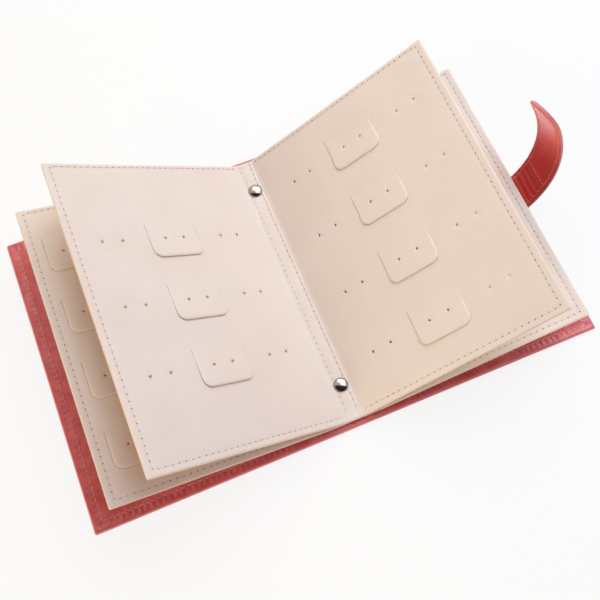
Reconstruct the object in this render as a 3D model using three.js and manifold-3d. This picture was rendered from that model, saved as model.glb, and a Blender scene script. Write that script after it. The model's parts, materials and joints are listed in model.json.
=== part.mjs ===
// Earring book lying open on a table: a stiff cover of three boards in red
// leathercloth, two nested folios of cream leaves riveted to the spine, stud
// holes and lift-up flaps in every leaf, and a closing strap with a magnet.
// Millimetres. X runs across the open book, Y up the page, Z up from the table.
// The origin is the middle of the spine's underside.
import * as THREE from 'three';
import { mergeVertices } from 'three/addons/utils/BufferGeometryUtils.js';
import Module from 'manifold-3d';

const wasm = await Module();
wasm.setup();

// Cover: one skin, board and lining for each of the spine, front and back
const coverHeight = 234.4;
const coverReach = 174.0; // cover hinge line to the fore-edge
const spineHalfWidth = 23.0; // middle of the spine to each cover hinge line
const skinThickness = 0.8;
const boardThickness = 1.4;
const liningThickness = 0.6;
const coverCornerRadius = 1.5;
const turnIn = 1.2; // skin folded round the edge of each board
const hingeGap = 0.3; // free gap on each hinge line
const glueLine = 0.1; // between layers that are glued face to face

// Folios: the strips lie on the spine, the outer one below the inner one
const pageHeight = 225.0;
const stripThickness = 2.2;
const outerStripHalfWidth = 19.5;
const innerStripHalfWidth = 6.2;
const leafReach = 160.7; // strip edge to the outer edge of leaves 1 to 3
const lastLeafReach = 162.2; // the same for leaf 4
const foldWidth = 8.0; // soft fold beside the strip, with no core in it
const leafSkinThickness = 0.8;
const coreThickness = 1.2;
const leafCornerRadius = 1.2;
const coreInset = 3.0; // core stops short of the sewn border
const restAngles = [17.0, 34.7, 32.0, 13.0]; // leaves 1 to 4 above the table, degrees

// Stud holes in pairs, three pairs to a row, one pair of each row on a flap
const rowsFour = 4; // rows on leaves 1 and 3
const rowsThree = 3; // rows on leaves 2 and 4
const rowPitch = 49.7;
const leftRowDrop = 1.2; // rows of leaves 1 and 2, below the middle of the page
const pairSpacing = 15.0;
const studHoleDiameter = 1.8;
const outerPairFromEdge = 31.4; // leaf's outer edge to the outer pair
const innerPairsFromFold = [26.1, 26.1, 26.1, 27.6]; // soft fold to the inner pair of leaves 1 to 4
const flapColumns = [1, 0, 0, 0]; // pair on the flap of leaves 1 to 4: 0 the middle one, 1 the outer one
const flapWidth = 40.0;
const flapAboveHoles = 13.0; // stud holes up to the flap's root
const flapBelowHoles = 15.0; // stud holes down to the flap's free edge
const flapCornerRadius = 6.0;
const flapKerf = 0.4; // slit round the flap

// Rivets through both strips into the spine
const rivetSpacing = 170.8;
const rivetHeadDiameter = 11.4;
const rivetHeadHeight = 3.0;
const rivetRimHeight = 0.8;
const rivetPostDiameter = 4.0;
const rivetPostClearance = 0.15; // radial
const rivetBackDiameter = 10.0;
const rivetBackClearance = 0.3; // radial, in the skin of the spine
const rivetSeatGap = 0.1;

// Closing strap on the back cover's fore-edge, curled up and back and a little twisted
const strapCentre = 7.0; // above the middle of the fore-edge
const strapWidth = 30.0;
const strapBaseLength = 57.0;
const strapEndLength = 47.3;
const strapCurlRadius = 99.3;
const strapRise = 64.6; // direction at the root above the table, degrees
const strapLean = 15.6; // sideways at the tip
const strapTwist = 15.9; // at the tip, about the strap's length, degrees
const strapSkinThickness = 0.7;
const strapFillerThickness = 1.4;
const strapLiningThickness = 0.6;
const strapFillerInset = 3.0;
const strapSteps = 12; // flats along each piece of the strap

// Magnets hidden in the strap's end and in the front cover
const magnetDiameter = 12.0;
const magnetThickness = 0.8;
const magnetClearance = 0.3; // radial
const strapMagnetFromTip = 20.0;
const coverMagnetFromEdge = 45.0;

// Heights that follow from the layers
const boardLow = skinThickness + glueLine;
const boardHigh = boardLow + boardThickness;
const liningLow = boardHigh + glueLine;
const coverTop = liningLow + liningThickness;
const outerStripLow = coverTop + glueLine;
const outerStripTop = outerStripLow + stripThickness;
const innerStripLow = outerStripTop + glueLine;
const innerStripTop = innerStripLow + stripThickness;
const leafThickness = 2 * leafSkinThickness + coreThickness + 2 * glueLine;
const strapThickness = strapSkinThickness + strapFillerThickness + strapLiningThickness + 2 * glueLine;

// Flats on round forms
const holeSides = 6;
const discSides = 16;
const cornerSteps = 4;

function material(colour, roughness, metalness = 0) {
  return new THREE.MeshStandardMaterial({ color: colour, roughness, metalness });
}

const redSkin = () => material('#a8262c', 0.55);
const redLining = () => material('#b8484c', 0.45);
const creamSkin = () => material('#ead9c8', 0.6);
const boardGrey = () => material('#8d8578', 0.9);
const coreWhite = () => material('#ded8cc', 0.95);
const nickel = () => material('#c8c8c8', 0.25, 1);
const magnetGrey = () => material('#77797c', 0.4, 1);

function named(name, geometry, meshMaterial) {
  const mesh = new THREE.Mesh(geometry, meshMaterial);
  mesh.name = name;
  return mesh;
}

// Closed solid of a geometry, for cutting
function solidOf(geometry) {
  const bare = geometry.clone();
  bare.deleteAttribute('normal');
  bare.deleteAttribute('uv');
  const merged = mergeVertices(bare, 1e-4);
  return new wasm.Manifold(new wasm.Mesh({
    numProp: 3,
    vertProperties: new Float32Array(merged.attributes.position.array),
    triVerts: new Uint32Array(merged.index.array),
  }));
}

function geometryOf(solid) {
  const mesh = solid.getMesh();
  const geometry = new THREE.BufferGeometry();
  geometry.setAttribute('position', new THREE.BufferAttribute(new Float32Array(mesh.vertProperties), 3));
  geometry.setIndex(new THREE.BufferAttribute(new Uint32Array(mesh.triVerts), 1));
  geometry.computeVertexNormals();
  return geometry;
}

// Plate between two heights from an outline in the XY plane
function plate(outline, low, high) {
  const geometry = new THREE.ExtrudeGeometry(outline, { depth: high - low, bevelEnabled: false });
  geometry.translate(0, 0, low);
  return geometry;
}

// Points on an arc, with both ends, angles in quarter turns from +X
function arc(x, y, radius, from, to, steps) {
  const points = [];
  for (let step = 0; step <= steps; step += 1) {
    const angle = (Math.PI / 2) * (from + ((to - from) * step) / steps);
    points.push(new THREE.Vector2(x + radius * Math.cos(angle), y + radius * Math.sin(angle)));
  }
  return points;
}

function circlePoints(x, y, diameter, sides) {
  return arc(x, y, diameter / 2, 0, 4, sides).slice(0, sides);
}

function roundHole(x, y, diameter, sides = holeSides) {
  return new THREE.Path(circlePoints(x, y, diameter, sides));
}

// Outline from an inner straight edge to an outer edge with round corners,
// mirrored to the left for side -1
function edgeRounded(side, inner, outer, halfHeight, radius) {
  const points = [
    new THREE.Vector2(inner, -halfHeight),
    ...arc(outer - radius, -halfHeight + radius, radius, -1, 0, cornerSteps),
    ...arc(outer - radius, halfHeight - radius, radius, 0, 1, cornerSteps),
    new THREE.Vector2(inner, halfHeight),
  ];
  return new THREE.Shape(points.map((point) => new THREE.Vector2(side * point.x, point.y)));
}

// Tongue with a straight root at the top and round corners at the free edge
function tonguePoints(centre, halfWidth, bottom, root, radius) {
  return [
    new THREE.Vector2(centre - halfWidth, root),
    ...arc(centre - halfWidth + radius, bottom + radius, radius, 2, 3, cornerSteps),
    ...arc(centre + halfWidth - radius, bottom + radius, radius, 3, 4, cornerSteps),
    new THREE.Vector2(centre + halfWidth, root),
  ];
}

function rectangle(halfWidth, halfHeight, centreX = 0) {
  return new THREE.Shape([
    new THREE.Vector2(centreX - halfWidth, -halfHeight),
    new THREE.Vector2(centreX + halfWidth, -halfHeight),
    new THREE.Vector2(centreX + halfWidth, halfHeight),
    new THREE.Vector2(centreX - halfWidth, halfHeight),
  ]);
}

const rivetPlaces = [
  { name: 'upper_rivet', y: rivetSpacing / 2 },
  { name: 'lower_rivet', y: -rivetSpacing / 2 },
];

function withRivetHoles(shape, diameter) {
  for (const rivet of rivetPlaces) {
    shape.holes.push(roundHole(0, rivet.y, diameter, discSides));
  }
  return shape;
}

// Spine: skin, board and lining, pierced for the rivets
function spine() {
  const group = new THREE.Group();
  const halfWidth = spineHalfWidth - hingeGap / 2;
  const postHole = rivetPostDiameter + 2 * rivetPostClearance;
  const backHole = rivetBackDiameter + 2 * rivetBackClearance;
  const skinShape = withRivetHoles(rectangle(halfWidth, coverHeight / 2), backHole);
  const boardShape = withRivetHoles(rectangle(halfWidth - turnIn, coverHeight / 2 - turnIn), postHole);
  const liningShape = withRivetHoles(rectangle(halfWidth, coverHeight / 2), postHole);
  group.add(named('spine_skin', plate(skinShape, 0, skinThickness), redSkin()));
  group.add(named('spine_board', plate(boardShape, boardLow, boardHigh), boardGrey()));
  group.add(named('spine_lining', plate(liningShape, liningLow, coverTop), redLining()));
  return group;
}

// Front cover on the left, back cover on the right
function cover(name, side) {
  const group = new THREE.Group();
  const inner = spineHalfWidth + hingeGap / 2;
  const outer = spineHalfWidth + coverReach;
  const half = coverHeight / 2;
  const full = () => edgeRounded(side, inner, outer, half, coverCornerRadius);
  const boardShape = edgeRounded(side, inner + turnIn, outer - turnIn, half - turnIn, coverCornerRadius);
  if (name === 'front_cover') {
    const magnetX = side * (outer - coverMagnetFromEdge);
    const pocket = magnetDiameter + 2 * magnetClearance;
    boardShape.holes.push(roundHole(magnetX, strapCentre, pocket, discSides));
    const disc = new THREE.Shape(circlePoints(magnetX, strapCentre, magnetDiameter, discSides));
    group.add(named('front_cover_magnet', plate(disc, boardLow, boardLow + magnetThickness), magnetGrey()));
  }
  group.add(named(`${name}_skin`, plate(full(), 0, skinThickness), redSkin()));
  group.add(named(`${name}_board`, plate(boardShape, boardLow, boardHigh), boardGrey()));
  group.add(named(`${name}_lining`, plate(full(), liningLow, coverTop), redLining()));
  return group;
}

// Strips of the two folios, one on the other, under the rivet heads
function strips() {
  const group = new THREE.Group();
  const postHole = rivetPostDiameter + 2 * rivetPostClearance;
  const strip = (halfWidth) => withRivetHoles(rectangle(halfWidth - hingeGap / 2, pageHeight / 2), postHole);
  const outer = plate(strip(outerStripHalfWidth), outerStripLow, outerStripTop);
  const inner = plate(strip(innerStripHalfWidth), innerStripLow, innerStripTop);
  group.add(named('outer_folio_strip', outer, creamSkin()));
  group.add(named('inner_folio_strip', inner, creamSkin()));
  return group;
}

// Domed rivet head with its post, and the cap that closes it from behind
function rivets() {
  const group = new THREE.Group();
  const headLow = innerStripTop + rivetSeatGap;
  const postLow = boardLow;
  const headRadius = rivetHeadDiameter / 2;
  const postRadius = rivetPostDiameter / 2;
  const domeSteps = 5;
  const profile = [new THREE.Vector2(0, postLow), new THREE.Vector2(postRadius, postLow)];
  profile.push(new THREE.Vector2(postRadius, headLow), new THREE.Vector2(headRadius, headLow));
  for (let step = 0; step <= domeSteps; step += 1) {
    const angle = (step / domeSteps) * (Math.PI / 2);
    const rise = (rivetHeadHeight - rivetRimHeight) * Math.sin(angle);
    const radius = step === domeSteps ? 0 : headRadius * Math.cos(angle);
    profile.push(new THREE.Vector2(radius, headLow + rivetRimHeight + rise));
  }
  const backRadius = rivetBackDiameter / 2;
  const backHigh = boardLow - rivetSeatGap;
  for (const rivet of rivetPlaces) {
    const head = new THREE.LatheGeometry(profile, discSides);
    head.rotateX(Math.PI / 2);
    head.translate(0, rivet.y, 0);
    group.add(named(rivet.name, head, nickel()));
    const back = new THREE.CylinderGeometry(backRadius, backRadius, backHigh, discSides);
    back.rotateX(Math.PI / 2);
    back.translate(0, rivet.y, backHigh / 2);
    group.add(named(`${rivet.name}_back`, back, nickel()));
  }
  return group;
}

// Row heights on a leaf, from the top row down
function rowHeights(rows) {
  const heights = [];
  for (let row = 0; row < rows; row += 1) {
    heights.push(((rows - 1) / 2 - row) * rowPitch);
  }
  return heights;
}

// One leaf and its soft fold, standing at its rest angle beside its strip.
// In the leaf's own frame the visible face is at height 0.
function leaf(number, side, rows, reach, stripHalfWidth, stripTop) {
  const name = `leaf_${number}`;
  const fold = new THREE.Group();
  fold.position.set(side * stripHalfWidth, 0, stripTop);
  fold.rotation.y = THREE.MathUtils.degToRad(-side * restAngles[number - 1]);
  const foldShape = rectangle((foldWidth - hingeGap) / 2, pageHeight / 2, side * foldWidth / 2);
  fold.add(named(`${name}_fold`, plate(foldShape, -stripThickness, 0), creamSkin()));

  const panel = new THREE.Group();
  panel.position.x = side * foldWidth;
  fold.add(panel);
  const outer = reach - foldWidth;
  const inner = hingeGap / 2;
  const pairPitch = (outer - outerPairFromEdge - innerPairsFromFold[number - 1]) / 2;
  const middle = outer - outerPairFromEdge - pairPitch;
  const flapColumn = flapColumns[number - 1];
  const flapCentre = side * (middle + flapColumn * pairPitch);
  const heights = rowHeights(rows).map((y) => (side < 0 ? y - leftRowDrop : y));

  const pierced = (inset) => {
    const shape = edgeRounded(side, inner + inset, outer - inset, pageHeight / 2 - inset, leafCornerRadius);
    for (const y of heights) {
      for (const column of [-1, 0, 1].filter((place) => place !== flapColumn)) {
        const centre = side * (middle + column * pairPitch);
        shape.holes.push(roundHole(centre - pairSpacing / 2, y, studHoleDiameter));
        shape.holes.push(roundHole(centre + pairSpacing / 2, y, studHoleDiameter));
      }
      shape.holes.push(new THREE.Path(tonguePoints(flapCentre, flapWidth / 2 + flapKerf,
        y - flapBelowHoles - flapKerf, y + flapAboveHoles, flapCornerRadius + flapKerf)));
    }
    return shape;
  };
  const backHigh = -leafThickness + leafSkinThickness;
  const coreHigh = -leafSkinThickness - glueLine;
  panel.add(named(`${name}_front_skin`, plate(pierced(0), -leafSkinThickness, 0), creamSkin()));
  const core = plate(pierced(coreInset), coreHigh - coreThickness, coreHigh);
  panel.add(named(`${name}_core`, core, coreWhite()));
  panel.add(named(`${name}_back_skin`, plate(pierced(0), -leafThickness, backHigh), creamSkin()));

  heights.forEach((y, row) => {
    const shape = new THREE.Shape(tonguePoints(flapCentre, flapWidth / 2, y - flapBelowHoles,
      y + flapAboveHoles - hingeGap, flapCornerRadius));
    shape.holes.push(roundHole(flapCentre - pairSpacing / 2, y, studHoleDiameter));
    shape.holes.push(roundHole(flapCentre + pairSpacing / 2, y, studHoleDiameter));
    panel.add(named(`${name}_flap_${row + 1}`, plate(shape, -leafThickness, 0), creamSkin()));
  });
  return fold;
}

// Directions across the strap and out of its lined face, at a length along it
function strapAxes(along) {
  const share = along / (strapBaseLength + strapEndLength);
  const direction = THREE.MathUtils.degToRad(strapRise) + along / strapCurlRadius;
  const twist = THREE.MathUtils.degToRad(strapTwist) * share ** 2;
  const sideways = new THREE.Vector3(0, 1, 0);
  const upright = new THREE.Vector3(-Math.sin(direction), 0, Math.cos(direction));
  const across = sideways.clone().multiplyScalar(Math.cos(twist)).addScaledVector(upright, Math.sin(twist));
  const facing = upright.clone().multiplyScalar(Math.cos(twist)).addScaledVector(sideways, -Math.sin(twist));
  return { across, facing };
}

// Point of the curled strap: length along its lined face, depth below that face
function strapPoint(along, depth, aside) {
  const share = along / (strapBaseLength + strapEndLength);
  const start = THREE.MathUtils.degToRad(strapRise);
  const direction = start + along / strapCurlRadius;
  const rootX = spineHalfWidth + coverReach + hingeGap;
  const { across, facing } = strapAxes(along);
  const middle = new THREE.Vector3(
    rootX + strapCurlRadius * (Math.sin(direction) - Math.sin(start)),
    strapCentre + strapLean * share ** 2,
    coverTop + strapCurlRadius * (Math.cos(start) - Math.cos(direction)),
  );
  return middle.addScaledVector(across, aside).addScaledVector(facing, -depth).toArray();
}

// Half the strap's width, round at the tip
function strapHalfWidth(along, length, inset) {
  const half = strapWidth / 2;
  const fromTip = length - along;
  const tip = fromTip < half ? Math.sqrt(half * half - (half - fromTip) ** 2) : half;
  return Math.max(tip - inset, half / 4);
}

// Ribbon of the strap between two lengths and two depths
function ribbon(from, to, low, high, inset) {
  const length = strapBaseLength + strapEndLength;
  const places = [];
  const tipStart = length - strapWidth / 2;
  for (let step = 0; step <= strapSteps; step += 1) {
    places.push(from + ((to - from) * step) / strapSteps);
  }
  if (to > tipStart) {
    for (const share of [0.25, 0.5, 0.75, 0.9]) {
      places.push(tipStart + (to - tipStart) * share);
    }
    places.sort((a, b) => a - b);
  }
  const positions = [];
  const index = [];
  places.forEach((along, ring) => {
    const half = strapHalfWidth(along, length, inset);
    for (const [depth, across] of [[low, -half], [low, half], [high, half], [high, -half]]) {
      positions.push(...strapPoint(along, depth, across));
    }
    if (ring === 0) {
      return;
    }
    const now = ring * 4;
    const before = now - 4;
    for (let corner = 0; corner < 4; corner += 1) {
      const next = (corner + 1) % 4;
      index.push(before + corner, now + corner, before + next);
      index.push(before + next, now + corner, now + next);
    }
  });
  const last = (places.length - 1) * 4;
  index.push(0, 1, 2, 0, 2, 3);
  index.push(last, last + 2, last + 1, last, last + 3, last + 2);
  const geometry = new THREE.BufferGeometry();
  geometry.setAttribute('position', new THREE.Float32BufferAttribute(positions, 3));
  geometry.setIndex(index);
  geometry.computeVertexNormals();
  return geometry;
}

// Round disc lying in the strap's filler, square to the lined face
function strapDisc(along, depth, diameter, thickness) {
  const disc = new THREE.CylinderGeometry(diameter / 2, diameter / 2, thickness, discSides);
  const turn = new THREE.Quaternion();
  turn.setFromUnitVectors(new THREE.Vector3(0, 1, 0), strapAxes(along).facing);
  disc.applyQuaternion(turn);
  disc.translate(...strapPoint(along, depth, 0));
  return disc;
}

function strap() {
  const group = new THREE.Group();
  const length = strapBaseLength + strapEndLength;
  const fillerLow = strapLiningThickness + glueLine;
  const fillerHigh = fillerLow + strapFillerThickness;
  const skinLow = fillerHigh + glueLine;
  const pieces = [
    { name: 'strap_base', from: 0, to: strapBaseLength - hingeGap / 2 },
    { name: 'strap_end', from: strapBaseLength + hingeGap / 2, to: length },
  ];
  for (const { name, from, to } of pieces) {
    const isEnd = name === 'strap_end';
    const fillerTo = isEnd ? to - strapFillerInset : to;
    group.add(named(`${name}_lining`, ribbon(from, to, 0, strapLiningThickness, 0), redLining()));
    let filler = ribbon(from, fillerTo, fillerLow, fillerHigh, strapFillerInset);
    if (isEnd) {
      const along = length - strapMagnetFromTip;
      const depth = (fillerLow + fillerHigh) / 2;
      const pocket = strapDisc(along, depth, magnetDiameter + 2 * magnetClearance, 4 * strapFillerThickness);
      filler = geometryOf(solidOf(filler).subtract(solidOf(pocket)));
      const magnet = strapDisc(along, depth, magnetDiameter, magnetThickness);
      group.add(named('strap_magnet', magnet, magnetGrey()));
    }
    group.add(named(`${name}_filler`, filler, boardGrey()));
    group.add(named(`${name}_skin`, ribbon(from, to, skinLow, strapThickness, 0), redSkin()));
  }
  return group;
}

const earringBook = new THREE.Group();
earringBook.add(spine());
earringBook.add(cover('front_cover', -1));
earringBook.add(cover('back_cover', 1));
earringBook.add(strips());
earringBook.add(rivets());
earringBook.add(leaf(1, -1, rowsFour, leafReach, outerStripHalfWidth, outerStripTop));
earringBook.add(leaf(2, -1, rowsThree, leafReach, innerStripHalfWidth, innerStripTop));
earringBook.add(leaf(3, 1, rowsFour, leafReach, innerStripHalfWidth, innerStripTop));
earringBook.add(leaf(4, 1, rowsThree, lastLeafReach, outerStripHalfWidth, outerStripTop));
earringBook.add(strap());

export default earringBook;
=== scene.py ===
import json
import math

import bpy
import numpy as np
from mathutils import Matrix, Vector, noise
from mathutils.geometry import delaunay_2d_cdt


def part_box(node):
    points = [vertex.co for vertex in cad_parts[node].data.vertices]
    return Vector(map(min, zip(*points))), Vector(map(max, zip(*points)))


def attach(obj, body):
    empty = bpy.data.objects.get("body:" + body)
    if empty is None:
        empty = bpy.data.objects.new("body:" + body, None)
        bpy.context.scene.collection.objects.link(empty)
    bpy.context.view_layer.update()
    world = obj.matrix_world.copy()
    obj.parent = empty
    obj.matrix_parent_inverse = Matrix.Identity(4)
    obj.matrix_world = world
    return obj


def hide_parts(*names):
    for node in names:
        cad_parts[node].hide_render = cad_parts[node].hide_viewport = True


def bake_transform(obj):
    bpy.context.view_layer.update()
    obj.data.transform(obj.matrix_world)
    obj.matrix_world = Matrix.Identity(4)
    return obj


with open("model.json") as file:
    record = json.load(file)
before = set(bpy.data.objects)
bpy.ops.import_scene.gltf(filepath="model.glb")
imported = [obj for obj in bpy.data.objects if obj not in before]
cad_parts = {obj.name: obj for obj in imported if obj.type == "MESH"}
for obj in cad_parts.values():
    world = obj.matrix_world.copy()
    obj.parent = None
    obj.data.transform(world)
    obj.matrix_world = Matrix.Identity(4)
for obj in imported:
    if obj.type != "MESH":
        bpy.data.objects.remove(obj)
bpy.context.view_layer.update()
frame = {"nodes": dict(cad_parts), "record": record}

MM = 0.001
JOINTS = {joint["name"]: joint for joint in frame["record"]["behaviour"]["joints"]}
UP = Vector((0, 0, 1))
PAGE_UP = Vector((0, 1, 0))

# Sizes of the leaves, beside those read from the frame. The dictionaries go by the leaf's number.
LEAF_THICKNESS = 3.0 * MM
LEAF_CORNER = 1.2 * MM
ROWS = {1: 4, 2: 3, 3: 4, 4: 3}
FLAP_COLUMNS = {1: 1, 2: 0, 3: 0, 4: 0}
ROW_PITCH = 49.7 * MM
ROW_DROP = {1: 1.2 * MM, 2: 1.2 * MM, 3: 0.0, 4: 0.0}
PAIR_PITCH = 47.6 * MM
PAIR_SPACING = 15.0 * MM
PAIR_FROM_EDGE = 79.0 * MM
STUD_HOLE = 2.0 * MM
FLAP_START = 0.02 * MM
FLAP_HALF = 20.0 * MM
FLAP_ABOVE = 13.0 * MM
FLAP_BELOW = 15.0 * MM
FLAP_CORNER = 6.0 * MM
FLAP_THICKNESS = 2.2 * MM
FLAP_KERF = 0.15 * MM
FLAP_SHIFT = 0.11 * MM
FLAP_LIFT = 1.9 * MM
FLAP_LIFT_POWER = 1.2
FLAP_FREE = 10.0 * MM
FOLD_REACH = 4.0 * MM
LEAF_BEND = (1.2 * FOLD_REACH, 2.8 * FOLD_REACH)
STRIP_THICKNESS = 2.2 * MM
# Width along a leaf's edge that takes the lighter painted highlight
LEAF_HIGHLIGHT_BAND = 0.5 * MM

# Relief of the leaves
LEAF_BORDER_SINK = 0.16 * MM
LEAF_BORDER_WIDTH = 1.3 * MM
LEAF_CROWN = 0.14 * MM
LEAF_UNEVEN = 0.30 * MM
LIP_RISE = 0.16 * MM
LIP_FROM_HOLE = 0.8 * MM
LIP_WIDTH = 0.7 * MM
FOLD_WRINKLE = 0.22 * MM
FOLD_GROOVE = 0.2 * MM
FOLD_GROOVE_WIDTH = 0.9 * MM
FOLD_THINNING = 0.6
FOLD_STEP = 0.9 * MM
FOLD_CLEAR = 1.1 * MM
STRIP_BAND = 0.5 * MM
STRIP_SLOPE = 0.6 * MM

# Falls of faces towards an edge: the drop at the edge, the width it takes, and its power
LEAF_RIM = (0.6 * MM, 0.9 * MM, 1.6)
LEAF_THINNING = (1.3 * MM, 3.2 * MM, 2)
FLAP_RIM = (0.6 * MM, 1.8 * MM, 1.8)
LIP_FALL = (0.35 * MM, 0.6 * MM, 1)
COVER_RIM = (1.15 * MM, 1.8 * MM, 2.2)
STRAP_RIM = (0.9 * MM, 1.6 * MM, 2)

# Sizes of the sewing
SEAM_STEP = 2.0 * MM
SEAM_SINK = 0.35 * MM
LEAF_SIDE_SEAM = 4.8 * MM
LEAF_TOP_SEAM = 2.8 * MM
LEAF_BOTTOM_SEAM = 4.5 * MM
LEAF_STITCH = 4.8 * MM
LEAF_THREAD_RADIUS = 0.2 * MM
LEAF_PIT_RADIUS = 0.64 * MM
STRIP_SEAM = 4.0 * MM
STRIP_EDGE = 5.6 * MM
COVER_SEAM = 7.5 * MM
COVER_SEAM_WIDTH = 0.8 * MM
COVER_STITCH = 4.4 * MM
COVER_THREAD_RADIUS = 0.34 * MM
COVER_PIT_RADIUS = 0.36 * MM
OUTSIDE_THREAD_RADIUS = 0.3 * MM
OUTSIDE_PIT_RADIUS = 0.5 * MM
STRAP_SEAM = 3.2 * MM
STRAP_SEAM_WIDTH = 0.7 * MM
STRAP_SEAM_STEP = 1.5 * MM
STRAP_STITCH = 3.4 * MM
STRAP_THREAD_RADIUS = 0.62 * MM
STRAP_PIT_RADIUS = 0.4 * MM

# Sizes of the cover
COVER_CORNER = 1.5 * MM
# Width along the cover's edge painted with the pink highlight
COVER_HIGHLIGHT_BAND = 1.2 * MM
COVER_SPACING = 1.2 * MM
COVER_GRID = 2.6 * MM
COVER_SEED = 11.0
COVER_UNEVEN = 0.15 * MM
COVER_SCALE_DEPTH = 0.30 * MM
SCALE_LENGTH = 9.0 * MM
SCALE_WIDTH = 6.5 * MM
SCALE_STEEPNESS = 2.6
FORE_EDGE_PUCKER = 0.16 * MM
HEAD_PUCKER = 0.55 * MM
PUCKER_FROM_SEAM = 1.5 * MM
PUCKER_WIDTH = 2.6 * MM
PUCKER_TOP = 1.6
PUCKER_JITTER = 1.2
GUTTER_SINK = 0.5 * MM
GUTTER_WIDTH = 2.2 * MM
SPINE_SPLIT = 14.0 * MM

# Sizes of the rivets. The post's radius is a share of the head's, and the dome's step is in radians.
RIVET_RIM = 0.55 * MM
RIVET_ROLL = 0.3 * MM
RIVET_LIP = 0.05 * MM
RIVET_DOME_INSET = 0.1 * MM
RIVET_DOME_TOP = 0.02 * MM
RIVET_DOME_STEP = 0.12
RIVET_POST = 0.35
RIVET_POST_LENGTH = 4.0 * MM
RIVET_SIDES = 40

# Sizes of the strap
STRAP_CURL = 99.3 * MM
STRAP_RISE = math.radians(64.6)
STRAP_LEAN = 15.6 * MM
STRAP_TWIST = math.radians(15.9)
STRAP_LENGTH = 104.3 * MM
STRAP_HALF = 15.0 * MM
STRAP_THICKNESS = 2.9 * MM
STRAP_SPLIT = 33.0 * MM
STRAP_LOWEST = 0.1 * MM
STRAP_BASE_BEND = (0.0, 16.0 * MM)
STRAP_END_BEND = (47.0 * MM, 67.0 * MM)
STRAP_CROSS_SEAM = 25.0 * MM
STRAP_CROSS_SINK = 0.45 * MM
STRAP_CROSS_WIDTH = 0.9 * MM
STRAP_TUCK = 2.5 * MM
STRAP_CREASE = 6.2 * MM
STRAP_WRINKLE = 0.75 * MM
STRAP_DRIFT = 1.6 * MM
STRAP_SCALE_DEPTH = 0.25 * MM
# Width along the strap's edge painted with the pink highlight
STRAP_HIGHLIGHT_BAND = 1.0 * MM

# Sizes of the staging, in metres
FLOOR_HALF = 3.0
FLOOR_DROP = 0.6 * MM
FLOOR_GLOW = 0.82
CARD_HALF = 1.6
CARD_AWAY = 0.55
CARD_LOW = 0.12
CARD_HIGH = 1.3
CARD_LEAN = 0.6
CARD_TURN = math.radians(-22.5)

# The photograph's camera: its place, the directions down and forward in the picture, and its lens
CAMERA_SPOT = Vector((-0.0798, -0.1921, 0.5454))
CAMERA_DOWN = Vector((-0.357077, -0.869728, -0.34069))
CAMERA_FORWARD = Vector((0.1356, 0.312606, -0.940154))
CAMERA_SENSOR = 36.0
CAMERA_LENS = 45.35
CAMERA_CLIP = 0.01


def linear(red, green, blue):
    """Linear colour of an sRGB colour in 0 to 255."""
    out = []
    for value in (red, green, blue):
        share = value / 255
        out.append(share / 12.92 if share <= 0.04045 else ((share + 0.055) / 1.055) ** 2.4)
    return (*out, 1.0)


# Materials

# Where most values of a noise texture lie, and the narrower range that a patch's edge takes
NOISE_RANGE = (0.3, 0.7)
PATCH_RANGE = (0.35, 0.65)
# Leathercloth. The fibre's size and depth are shares of the grain's.
PATCH_DEPTH = 0.3 * MM
HOLLOW_TINT = 0.45
HOLLOW_WIDTH = 0.16
FIBRE_SIZE = 0.4
FIBRE_DEPTH = 0.25
ROUGH_SPREAD = 0.06
COAT_ROUGHNESS = 0.22
# Thread and metal
THREAD_ROUGHNESS = 0.6
TWIST_DEPTH = 0.08 * MM
SCRATCH_TONE = 0.86
SCRATCH_ROUGHNESS = 0.1
SCRATCH_DEPTH = 0.02 * MM


def shader(name):
    """New material, its nodes, links and main shader."""
    material = bpy.data.materials.new(name)
    material.use_nodes = True
    tree = material.node_tree
    return material, tree.nodes, tree.links, tree.nodes["Principled BSDF"]


def noise_texture(nodes, links, coords, size, detail):
    """Noise whose blotches are about size across."""
    texture = nodes.new("ShaderNodeTexNoise")
    texture.inputs["Scale"].default_value = 1 / size
    texture.inputs["Detail"].default_value = detail
    links.new(coords.outputs["Object"], texture.inputs["Vector"])
    return texture


def cells_texture(nodes, links, coords, size):
    """Distance from the edges of cells about size across."""
    texture = nodes.new("ShaderNodeTexVoronoi")
    texture.feature = "DISTANCE_TO_EDGE"
    texture.inputs["Scale"].default_value = 1 / size
    links.new(coords.outputs["Object"], texture.inputs["Vector"])
    return texture


def mixed(nodes, links, factor, first, second):
    """Colour between two colours by a factor socket."""
    mix = nodes.new("ShaderNodeMix")
    mix.data_type = "RGBA"
    links.new(factor, mix.inputs["Factor"])
    for socket, colour in (("A", first), ("B", second)):
        target = next(s for s in mix.inputs if s.name == socket and s.type == "RGBA")
        if isinstance(colour, tuple):
            target.default_value = colour
        else:
            links.new(colour, target)
    return next(s for s in mix.outputs if s.type == "RGBA")


def ranged(nodes, links, value, low, high, from_low=0.0, from_high=1.0):
    """Value mapped from one range to another."""
    node = nodes.new("ShaderNodeMapRange")
    links.new(value, node.inputs["Value"])
    node.inputs["From Min"].default_value = from_low
    node.inputs["From Max"].default_value = from_high
    node.inputs["To Min"].default_value = low
    node.inputs["To Max"].default_value = high
    return node.outputs["Result"]


def bumps(nodes, links, shader_node, layers):
    """Bump layers of (height socket, depth in metres, strength) one on the other."""
    before = None
    for height, depth, strength in layers:
        bump = nodes.new("ShaderNodeBump")
        bump.inputs["Distance"].default_value = depth
        bump.inputs["Strength"].default_value = strength
        links.new(height, bump.inputs["Height"])
        if before:
            links.new(before.outputs["Normal"], bump.inputs["Normal"])
        before = bump
    links.new(before.outputs["Normal"], shader_node.inputs["Normal"])


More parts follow.
